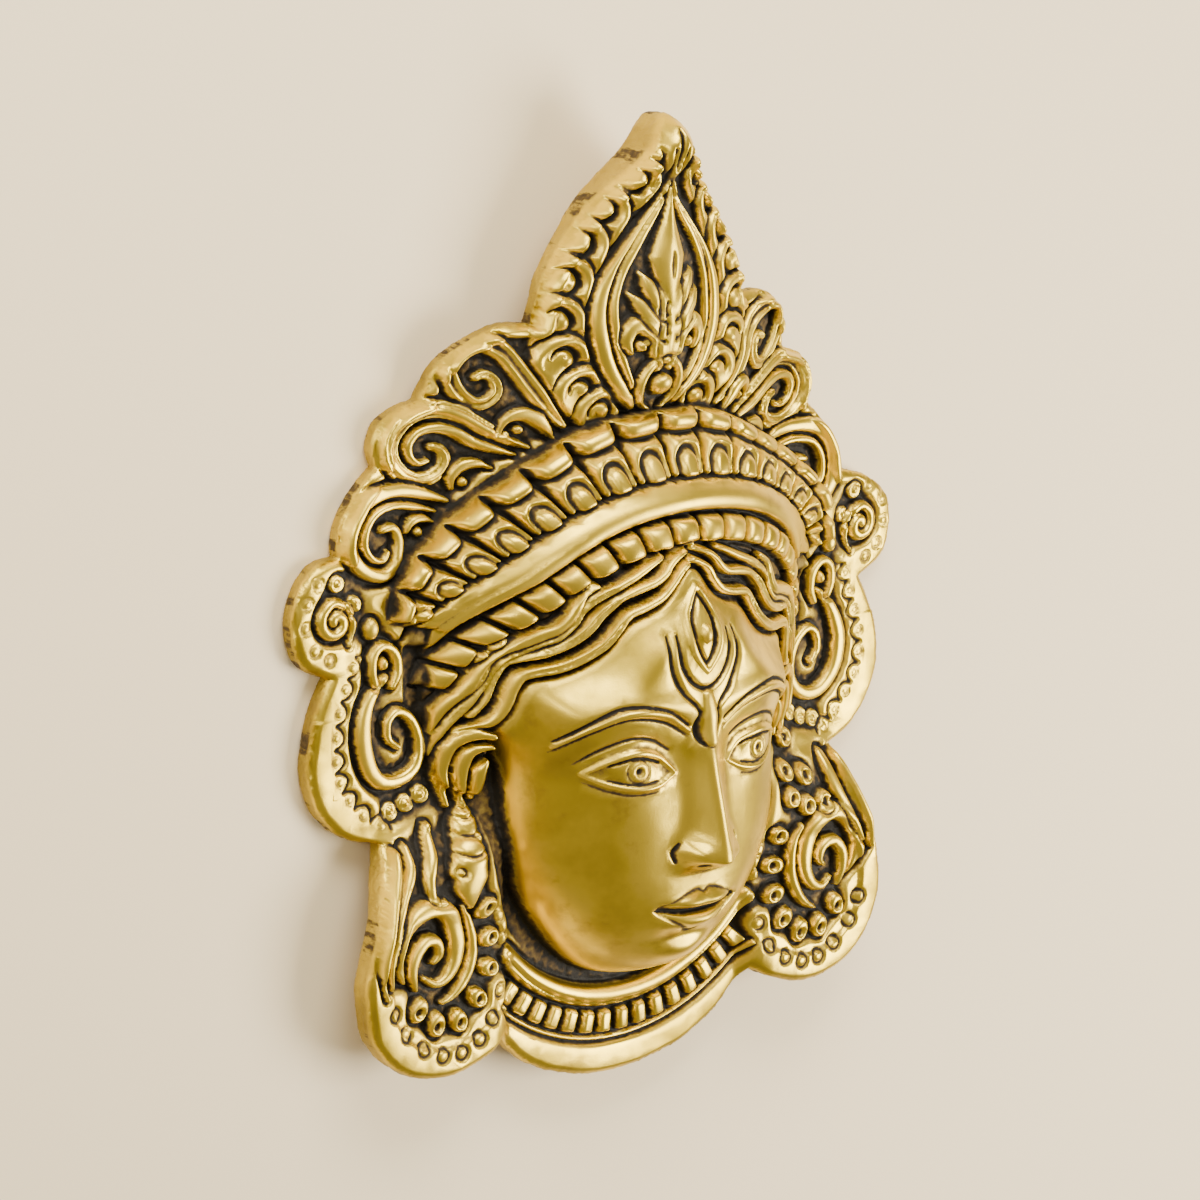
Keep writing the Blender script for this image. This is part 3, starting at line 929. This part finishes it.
# Cells of the grid whose middle is inside; where two touch at a corner only, a third joins them
def cellsInside(inside):
    kept = (inside[:-1, :-1] + inside[1:, :-1] + inside[:-1, 1:] + inside[1:, 1:]) > 0
    for _ in range(3):
        a, b, c, d = kept[:-1, :-1], kept[1:, 1:], kept[1:, :-1], kept[:-1, 1:]
        one = a & b & ~c & ~d
        two = c & d & ~a & ~b
        kept[1:, :-1] |= one
        kept[:-1, :-1] |= two
    return kept


# Closed mesh from two height fields over the cells inside the outline: the cells seen from the
# front, the same cells turned over at the back, and rows of a wall between their edges, front +
# (back - front) w high. Points at the edge move along the slope of the distance onto the outline.
def castingMesh(front, back, inside):
    kept = cellsInside(inside)
    around = np.zeros(gridX.shape, int)
    for r in (0, 1):
        for c in (0, 1):
            around[r:r + kept.shape[0], c:c + kept.shape[1]] += kept
    used = around > 0
    rim = used & (around < 4)
    gy, gx = np.gradient(blur(inside, 0.3), step)
    slope = np.maximum(np.hypot(gx, gy), 0.5)
    shift = np.where(rim, np.clip(inside, -0.2, 0.2) / slope**2, 0)
    px, py = gridX - shift * gx, gridY - shift * gy
    number = np.full(gridX.shape, -1)
    count = int(used.sum())
    number[used] = np.arange(count)
    points = [np.column_stack([px[used], py[used], height[used]]) for height in (front, back)]
    r, c = np.nonzero(kept)
    cells = np.column_stack([number[r, c], number[r, c + 1], number[r + 1, c + 1], number[r + 1, c]])
    faces = [cells, cells[:, ::-1] + count]

    rows = surface["rimRows"]
    rimNumber = np.full(count, -1)
    rimPoints = number[rim]
    rimNumber[rimPoints] = np.arange(len(rimPoints))
    out = -np.column_stack([gx[rim], gy[rim]]) / slope[rim][:, None]
    w = (np.arange(1, rows) / rows)[None, :]
    z = mix(front[rim][:, None], back[rim][:, None], w)
    x0, y0 = px[rim][:, None], py[rim][:, None]
    (fine, small, seedFine), (coarse, large, seedCoarse) = surface["sideLumps"]
    rough = small * lumps(fine, seedFine, x0 + 1.9 * z, y0 - 1.7 * z)
    rough = rough + large * lumps(coarse, seedCoarse, x0 + z, y0 - z)
    away = surface["bulge"] * (1 - (2 * w - 1) ** 4) + surface["filed"] * rough * (1 - (2 * w - 1) ** 6)
    wall = np.stack([x0 + out[:, :1] * away, y0 + out[:, 1:] * away, z], 2)
    points.append(wall.reshape(-1, 3))

    padded = np.pad(kept, 1)
    corners = [(0, 0), (0, 1), (1, 1), (1, 0), (0, 0)]
    ends = []
    outwards = [(-1, 0), (0, 1), (1, 0), (0, -1)]
    for (dr, dc), (r1, c1), (r2, c2) in zip(outwards, corners[:-1], corners[1:]):
        alone = ~padded[r + 1 + dr, c + 1 + dc]
        ends.append(np.column_stack([number[r + r1, c + c1], number[r + r2, c + c2]])[alone])
    a, b = np.vstack(ends).T
    first = 2 * count + rimNumber * (rows - 1) - 1
    level = lambda p, k: p if k == 0 else p + count if k == rows else first[p] + k
    for k in range(rows):
        faces.append(np.column_stack([level(b, k), level(a, k), level(a, k + 1), level(b, k + 1)]))
    points = np.vstack(points)
    points[:, 1] += casting["shiftY"]
    return points, np.vstack(faces)


# Mesh object from an array of points in millimetres and one of four-cornered faces
def meshObject(name, points, faces):
    mesh = bpy.data.meshes.new(name)
    mesh.vertices.add(len(points))
    mesh.vertices.foreach_set("co", (points * unit).astype(np.float32).ravel())
    mesh.loops.add(faces.size)
    mesh.loops.foreach_set("vertex_index", faces.astype(np.int32).ravel())
    mesh.polygons.add(len(faces))
    mesh.polygons.foreach_set("loop_start", np.arange(0, faces.size, 4, dtype=np.int32))
    mesh.update(calc_edges=True)
    mesh.validate()
    piece = bpy.data.objects.new(name, mesh)
    bpy.context.scene.collection.objects.link(piece)
    return piece


# The same form with fewer triangles: edges fall together where the surface is nearly flat
def thin(piece, triangles):
    modifier = piece.modifiers.new("thin", "DECIMATE")
    modifier.ratio = triangles / (2 * len(piece.data.polygons))
    modifier.use_collapse_triangulate = True
    mesh = bpy.data.meshes.new_from_object(piece.evaluated_get(bpy.context.evaluated_depsgraph_get()))
    piece.modifiers.clear()
    name, whole = piece.data.name, piece.data
    piece.data = mesh
    bpy.data.meshes.remove(whole)
    mesh.name = name


# Value of a height field at loose points, from the four samples round each
def sampled(field, x, y):
    u = np.clip((x - xs[0]) / step, 0, len(xs) - 1.001)
    v = np.clip((y - ys[0]) / step, 0, len(ys) - 1.001)
    i, j = v.astype(int), u.astype(int)
    f, g = v - i, u - j
    return mix(mix(field[i, j], field[i, j + 1], g), mix(field[i + 1, j], field[i + 1, j + 1], g), f)


# Numbers for the finish at every vertex: "recess" 1 in narrow hollows, "worn" 1 on proud edges,
# "grit" 1 where the casting was never dressed, and "side" 1 on the sides and the back, which is
# where a point lies more than a little of the way down from the front
def finishNumbers(mesh, front, back, grit, recess, worn):
    co = np.empty(len(mesh.vertices) * 3, np.float32)
    mesh.vertices.foreach_get("co", co)
    x, y, z = co.reshape(-1, 3).T / unit
    y = y - casting["shiftY"]
    top, low = sampled(front, x, y), sampled(back, x, y)
    side = smooth(0.08, 0.3, np.clip((top - z) / np.maximum(top - low, 0.5), 0, 1))
    values = {"recess": sampled(recess, x, y) * (1 - side), "worn": sampled(worn, x, y) * (1 - side),
              "grit": np.maximum(sampled(grit, x, y) * (1 - side), side * brass["sideGrit"]), "side": side}
    for name, value in values.items():
        layer = mesh.attributes.new(name, "FLOAT", "POINT")
        layer.data.foreach_set("value", value.astype(np.float32))


# The finish. "gold" and "deep" are the polished brass, "tarnish" its dull clouds, "brown" and
# "black" what settled in the cuts, "ground" the coarse low places. "clouds" to "grain" are the cells
# of the patterns in a metre, "...From" where in a pattern or a hollow each begins and is full, and
# "...Most" how much of it there is.
brass = {
    "gold": (0.84, 0.60, 0.062, 1), "deep": (0.46, 0.325, 0.026, 1), "tarnish": (0.26, 0.15, 0.025, 1),
    "brown": (0.11, 0.066, 0.018, 1), "black": (0.012, 0.010, 0.007, 1), "ground": (0.15, 0.10, 0.034, 1),
    "polish": 0.30, "satin": 0.44, "dull": 0.72, "coarse": 0.62, "sideGrit": 0.55,
    "clouds": 60, "tarnishClouds": 130, "seams": 230, "scratches": 420, "specks": 900, "pores": 1300,
    "grain": 2600, "relief": 0.22, "deepest": 0.00035,
    "specksMost": 0.5, "seamsFrom": (0.50, 0.62), "seamsMost": 0.55, "stainFrom": (0.12, 0.55),
    "pitchFrom": (0.38, 0.85), "paleFrom": (0.35, 0.65), "tarnishFrom": (0.54, 0.72), "tarnishMost": 0.45,
    "wornFrom": (0.0, 0.5), "groundMost": 0.75, "stainMetal": 0.55, "groundMetal": 0.4,
    "groundMetalMost": 0.5, "grainMost": 0.25, "scratchesMost": 0.25, "poresMost": 4.0,
}


# Shader node with its settings and inputs; an input is a value or another node's output
def place(tree, kind, settings=None, **inputs):
    node = tree.nodes.new(kind)
    for name, value in (settings or {}).items():
        setattr(node, name, value)
    for name, value in inputs.items():
        socket = node.inputs[int(name[1:])] if name[1:].isdigit() else node.inputs[name.replace("_", " ")]
        if isinstance(value, bpy.types.NodeSocket):
            tree.links.new(value, socket)
        else:
            socket.default_value = value
    return node


# One number of every vertex, read where it is shaded
def attribute(tree, name):
    return place(tree, "ShaderNodeAttribute", {"attribute_name": name}).outputs["Fac"]


# a + (b - a) f for numbers, with f kept between 0 and 1
def blendNumber(tree, factor, a, b):
    return place(tree, "ShaderNodeMix", {"data_type": "FLOAT"}, _0=factor, _2=a, _3=b).outputs[0]


# a + (b - a) f for colours
def blendColour(tree, factor, a, b):
    return place(tree, "ShaderNodeMix", {"data_type": "RGBA"}, _0=factor, _6=a, _7=b).outputs[2]


# One step of sums: a + b, a - b or a b
def calculate(tree, operation, a, b, clamp=False):
    return place(tree, "ShaderNodeMath", {"operation": operation, "use_clamp": clamp}, _0=a, _1=b).outputs[0]


# a times b
def times(tree, a, b):
    return calculate(tree, "MULTIPLY", a, b)


# 0 at one value and 1 at the other, smoothly
def ease(tree, value, low, high):
    settings = {"interpolation_type": "SMOOTHSTEP"}
    node = place(tree, "ShaderNodeMapRange", settings, Value=value, From_Min=low, From_Max=high)
    return node.outputs["Result"]


# Noise of so many cells a metre, drawn out along an axis where its stretch is small
def noise(tree, where, scale, detail=3.0, roughness=0.5, stretch=None):
    if stretch:
        where = place(tree, "ShaderNodeMapping", Vector=where, Scale=stretch).outputs["Vector"]
    node = place(tree, "ShaderNodeTexNoise", Vector=where, Scale=scale, Detail=detail, Roughness=roughness)
    return node.outputs["Fac"]


# Brass that was cast in sand, dressed on its high places, darkened, and rubbed bright again
def agedBrass():
    material = bpy.data.materials.new("agedBrass")
    material.use_nodes = True
    tree = material.node_tree
    tree.nodes.clear()
    where = place(tree, "ShaderNodeTexCoord").outputs["Object"]
    recess, worn, grit, side = (attribute(tree, name) for name in ("recess", "worn", "grit", "side"))

    specks = calculate(tree, "SUBTRACT", noise(tree, where, brass["specks"], 2), 0.5)
    ragged = calculate(tree, "ADD", recess, times(tree, specks, brass["specksMost"]))
    seams = ease(tree, noise(tree, where, brass["seams"], 4, 0.6, (1, 1, 0.22)), *brass["seamsFrom"])
    ragged = calculate(tree, "ADD", ragged, times(tree, times(tree, seams, side), brass["seamsMost"]))
    stain = ease(tree, ragged, *brass["stainFrom"])
    pitch = ease(tree, ragged, *brass["pitchFrom"])
    pale = ease(tree, noise(tree, where, brass["clouds"], 4), *brass["paleFrom"])
    tarnish = ease(tree, noise(tree, where, brass["tarnishClouds"], 7, 0.62), *brass["tarnishFrom"])
    tarnish = times(tree, tarnish, brass["tarnishMost"])
    tarnish = times(tree, tarnish, calculate(tree, "SUBTRACT", 1.0, worn, True))

    colour = blendColour(tree, pale, brass["gold"], brass["deep"])
    colour = blendColour(tree, ease(tree, worn, *brass["wornFrom"]), colour, brass["gold"])
    colour = blendColour(tree, tarnish, colour, brass["tarnish"])
    colour = blendColour(tree, times(tree, grit, brass["groundMost"]), colour, brass["ground"])
    colour = blendColour(tree, stain, colour, brass["brown"])
    colour = blendColour(tree, pitch, colour, brass["black"])
    metal = blendNumber(tree, stain, 1.0, brass["stainMetal"])
    metal = blendNumber(tree, times(tree, grit, brass["groundMetalMost"]), metal, brass["groundMetal"])
    rough = blendNumber(tree, pale, brass["polish"], brass["satin"])
    rough = blendNumber(tree, stain, rough, brass["dull"])
    rough = blendNumber(tree, grit, rough, brass["coarse"])

    grain = noise(tree, where, brass["grain"], 3, 0.6)
    scratches = noise(tree, where, brass["scratches"], 2, 0.5, (1, 0.06, 1))
    grain, scratches = times(tree, grain, brass["grainMost"]), times(tree, scratches, brass["scratchesMost"])
    fine = calculate(tree, "ADD", grain, scratches)
    pores = times(tree, noise(tree, where, brass["pores"], 4, 0.65), times(tree, grit, brass["poresMost"]))
    height = calculate(tree, "ADD", fine, pores)
    bump = place(tree, "ShaderNodeBump", Strength=brass["relief"], Distance=brass["deepest"], Height=height)
    shader = place(tree, "ShaderNodeBsdfPrincipled", Base_Color=colour, Metallic=metal, Roughness=rough,
                   Normal=bump.outputs["Normal"])
    output = place(tree, "ShaderNodeOutputMaterial")
    tree.links.new(shader.outputs["BSDF"], output.inputs["Surface"])
    return material


# Where the photograph was taken from, in the mask's own frame: degrees to the left of the front,
# degrees from above and of roll, and how far the picture's middle is off the mask's
view = {"middle": (0, 1.8, 7.5), "turn": 40, "rise": 13.97, "roll": 0.558, "far": 900, "aim": (-3.90, -1.911),
        "lens": 132.65, "film": 36}
lights = {
    "rightSoftbox": {"from": (0.62, -0.20, 0.76), "far": 700, "size": (420, 420), "power": 8},
    "crownSoftbox": {"from": (-0.15, 0.85, 0.55), "far": 650, "size": (500, 260), "power": 5.8},
    "leftSoftbox": {"from": (-0.92, 0.35, 0.30), "far": 700, "size": (120, 420), "power": 2},
}
room = {"lamps": (1, 0.95, 0.86), "colour": (1.0, 0.88, 0.62, 1), "strength": 0.42,
        "floor": (1.0, 0.84, 0.56, 1), "floorHalf": 6, "floorRough": 0.6}


# Right, up and back of the camera as columns
def cameraAxes():
    a, b, g = (math.radians(view[k]) for k in ("turn", "rise", "roll"))
    right = Vector((math.cos(a), 0, math.sin(a)))
    up = Vector((math.sin(a) * math.sin(b), math.cos(b), -math.cos(a) * math.sin(b)))
    back = right.cross(up)
    return right * math.cos(g) + up * math.sin(g), up * math.cos(g) - right * math.sin(g), back


# The camera stands "far" back along its axes and is then turned to look at the aim
def addCamera():
    right, up, back = cameraAxes()
    middle = Vector(view["middle"])
    spot = middle + back * view["far"]
    ahead = middle + right * view["aim"][0] + up * view["aim"][1] - spot
    back = -ahead.normalized()
    right = up.cross(back).normalized()
    up = back.cross(right)
    camera = bpy.data.objects.new("camera", bpy.data.cameras.new("camera"))
    camera.data.lens = view["lens"]
    camera.data.sensor_width = view["film"]
    turned = Matrix((right, up, back)).transposed().to_4x4()
    camera.matrix_world = Matrix.Translation(spot * unit) @ turned
    bpy.context.scene.collection.objects.link(camera)
    bpy.context.scene.camera = camera


# Soft lamps that face the mask's middle, and the light of the room
def addLights():
    for name, values in lights.items():
        lamp = bpy.data.lights.new(name, "AREA")
        lamp.shape = "RECTANGLE"
        lamp.size, lamp.size_y = (s * unit for s in values["size"])
        lamp.energy = values["power"]
        lamp.color = room["lamps"]
        holder = bpy.data.objects.new(name, lamp)
        toward = Vector(values["from"]).normalized()
        holder.location = (Vector(view["middle"]) + toward * values["far"]) * unit
        holder.rotation_euler = toward.to_track_quat("Z", "Y").to_euler()
        bpy.context.scene.collection.objects.link(holder)
    world = bpy.data.worlds.new("room")
    world.use_nodes = True
    background = world.node_tree.nodes["Background"]
    background.inputs["Color"].default_value = room["colour"]
    background.inputs["Strength"].default_value = room["strength"]
    bpy.context.scene.world = world


# A plain square of pale floor, as wide as two "floorHalf", under the mask
def addFloor():
    half = room["floorHalf"]
    mesh = bpy.data.meshes.new("floor")
    corners = [(-half, -half, 0), (half, -half, 0), (half, half, 0), (-half, half, 0)]
    mesh.from_pydata(corners, [], [(0, 1, 2, 3)])
    floor = bpy.data.objects.new("floor", mesh)
    bpy.context.scene.collection.objects.link(floor)
    material = bpy.data.materials.new("paleFloor")
    material.use_nodes = True
    shader = material.node_tree.nodes["Principled BSDF"]
    shader.inputs["Base Color"].default_value = room["floor"]
    shader.inputs["Roughness"].default_value = room["floorRough"]
    mesh.materials.append(material)


print("relief: drawing the front")
front, base, inside, grit, recess, worn = frontRelief()
back = backRelief(base, inside)
print("mesh: closing front, back and sides")
mask = meshObject("maskCasting", *castingMesh(front, back, inside))
thin(mask, surface["triangles"])
finishNumbers(mask.data, front, back, grit, recess, worn)
mask.data.polygons.foreach_set("use_smooth", np.ones(len(mask.data.polygons), bool))
mask.data.materials.append(agedBrass())
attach(mask, "root")
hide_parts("mask")
print("mask:", len(mask.data.polygons), "triangles")

addFloor()
addLights()
addCamera()
print("stage: floor, lights and camera")
